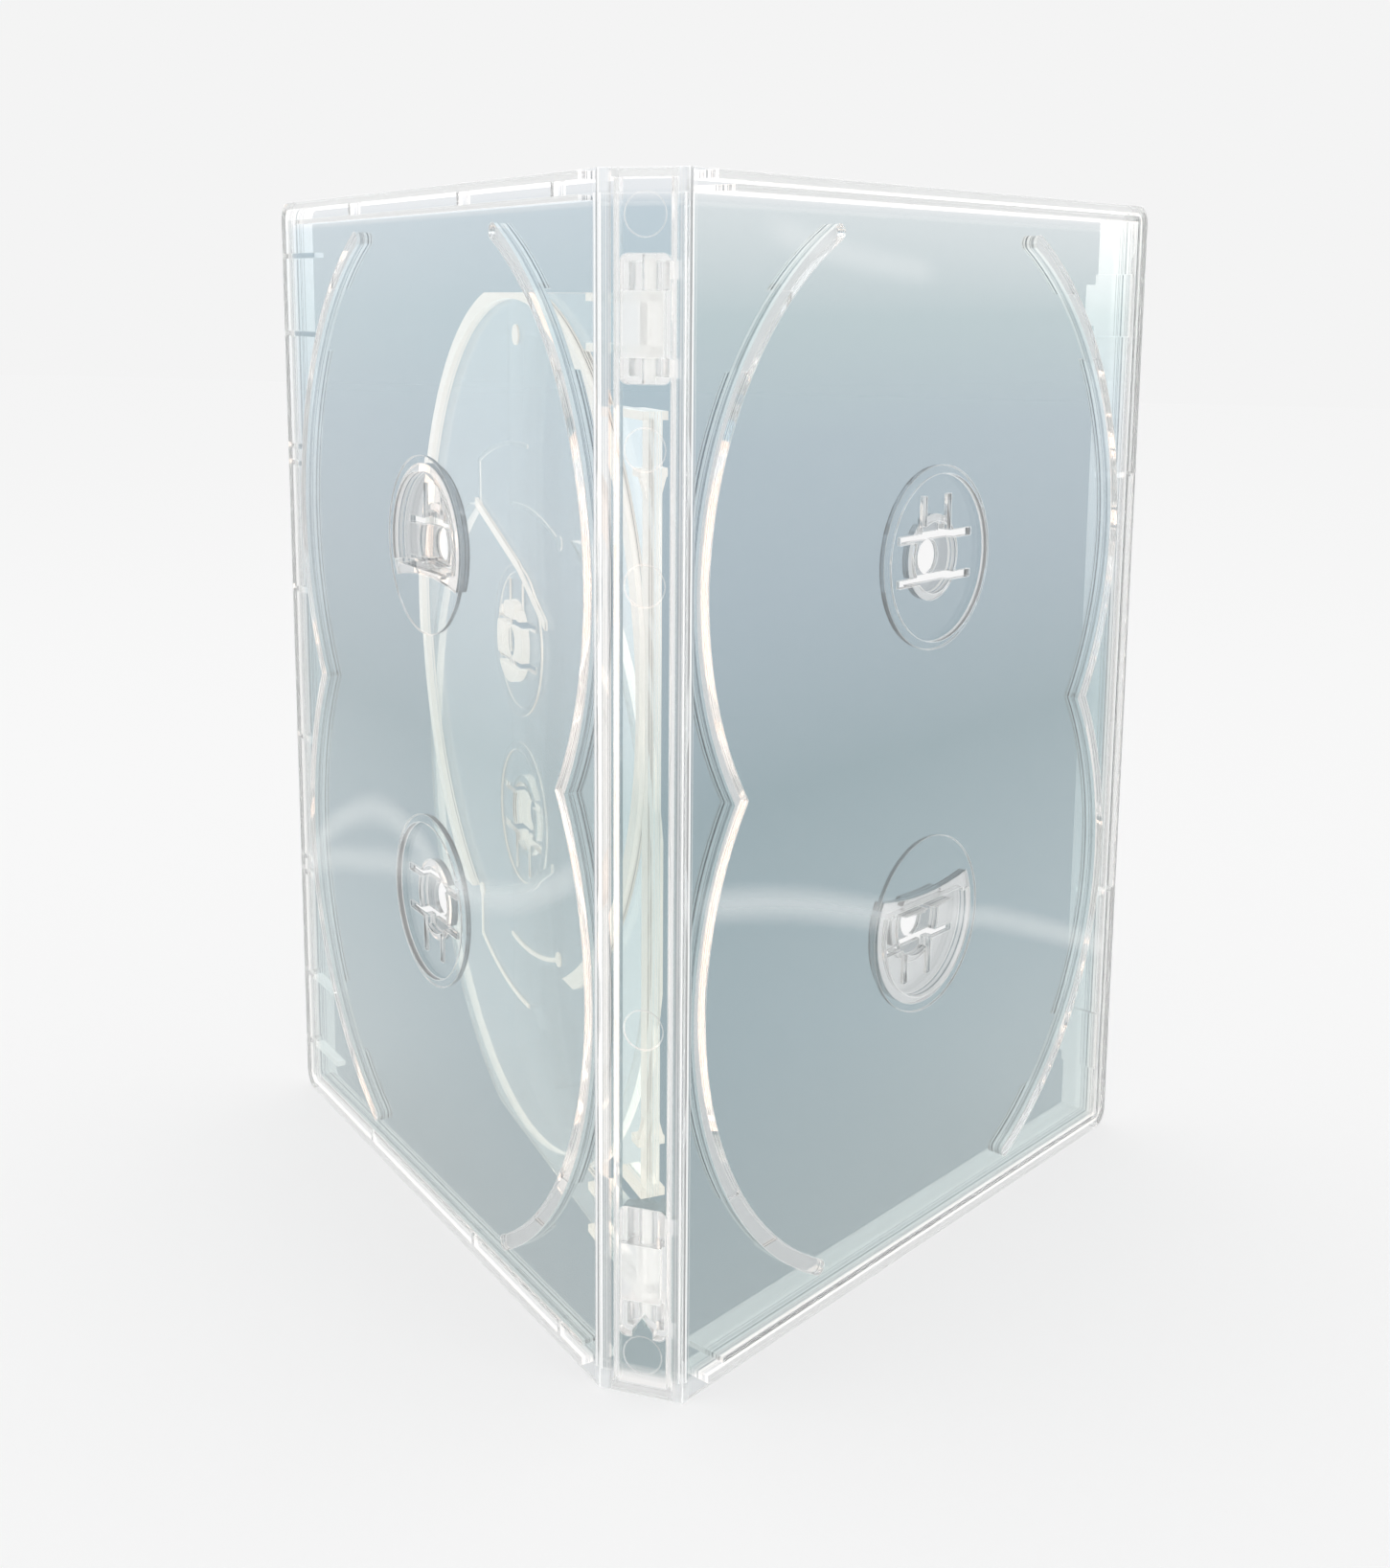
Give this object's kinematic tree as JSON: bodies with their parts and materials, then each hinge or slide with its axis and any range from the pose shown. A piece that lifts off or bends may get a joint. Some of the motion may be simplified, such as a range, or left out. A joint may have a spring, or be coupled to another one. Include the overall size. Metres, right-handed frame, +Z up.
{
  "type": "multi-disc dvd case",
  "caption": "Clear plastic disc case that opens like a book: hinged covers with snap hubs and disc guides, a flip tray on pins in the spine, and a film sleeve outside.",
  "frame": {"origin": "in the bottom face of the spine, on the pivot line of the flip tray", "axes": "+Z up along the spine, +X across the spine to the right seen from outside, +Y from the spine towards the open side"},
  "size_m": [0.1693, 0.1276, 0.19],
  "materials": {
    "case_plastic": "clear moulded polypropylene, slightly milky, glossy",
    "tray_plastic": "clear moulded polypropylene, a little creamier than the covers",
    "sleeve_film": "thin clear film, glossy and faintly wavy"
  },
  "bodies": {
    "spine": {"spine": "case_plastic", "sleeve_spine": "sleeve_film"},
    "left_cover": {"left_cover": "case_plastic", "sleeve_left": "sleeve_film"},
    "right_cover": {"right_cover": "case_plastic", "sleeve_right": "sleeve_film"},
    "flip_tray": {"flip_tray": "tray_plastic"}
  },
  "joints": [
    {"name": "left_hinge", "type": "hinge", "parent": "spine", "child": "left_cover", "pos_m": [-0.007, -0.0045, 0], "axis": [0, 0, 1], "range_deg": [-50, 40]},
    {"name": "right_hinge", "type": "hinge", "parent": "spine", "child": "right_cover", "pos_m": [0.007, -0.0045, 0], "axis": [0, 0, 1], "range_deg": [-67.4, 22.6]},
    {"name": "tray_hinge", "type": "hinge", "parent": "spine", "child": "flip_tray", "pos_m": [0, 0, 0], "axis": [0, 0, 1], "range_deg": [-41.5, 33.2]}
  ],
  "couplings": [
    {"joint": "tray_hinge", "follows": "left_hinge", "ratio": 0.83}
  ]
}
